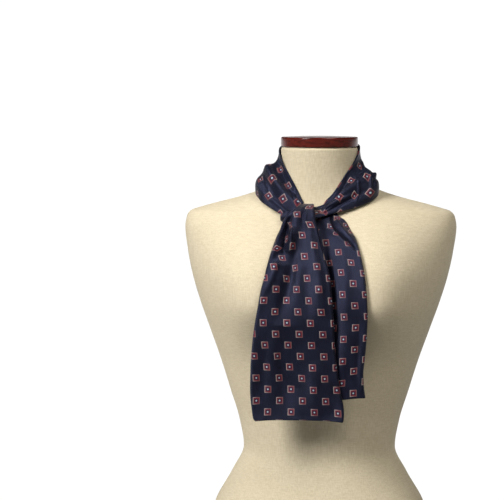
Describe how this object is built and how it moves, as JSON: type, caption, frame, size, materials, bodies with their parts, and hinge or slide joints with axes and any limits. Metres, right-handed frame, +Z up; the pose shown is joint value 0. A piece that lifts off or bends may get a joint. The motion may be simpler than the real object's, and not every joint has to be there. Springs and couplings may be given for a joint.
{
  "type": "cravat on a dress form",
  "caption": "Long silk cravat with a small all-over motif, knotted once at the throat with both ends hanging, worn on a limbless dress form with a wooden neck cap.",
  "frame": {"origin": "centre of the dress form's flat base, on the surface that it stands on", "axes": "+Z up, -Y the way the form's front and the knot face, +X towards the viewer's right when the front is seen"},
  "size_m": [0.3964, 0.2611, 0.6913],
  "materials": {
    "silk": "satin navy silk with a small printed motif",
    "form_cover": "matt cream jersey",
    "cap_wood": "polished mahogany"
  },
  "bodies": {
    "root": {"neck_stretch": "silk", "knot_band": "silk", "front_tail": "silk", "rear_tail": "silk", "form_body": "form_cover", "neck_cap": "cap_wood"}
  },
  "joints": []
}
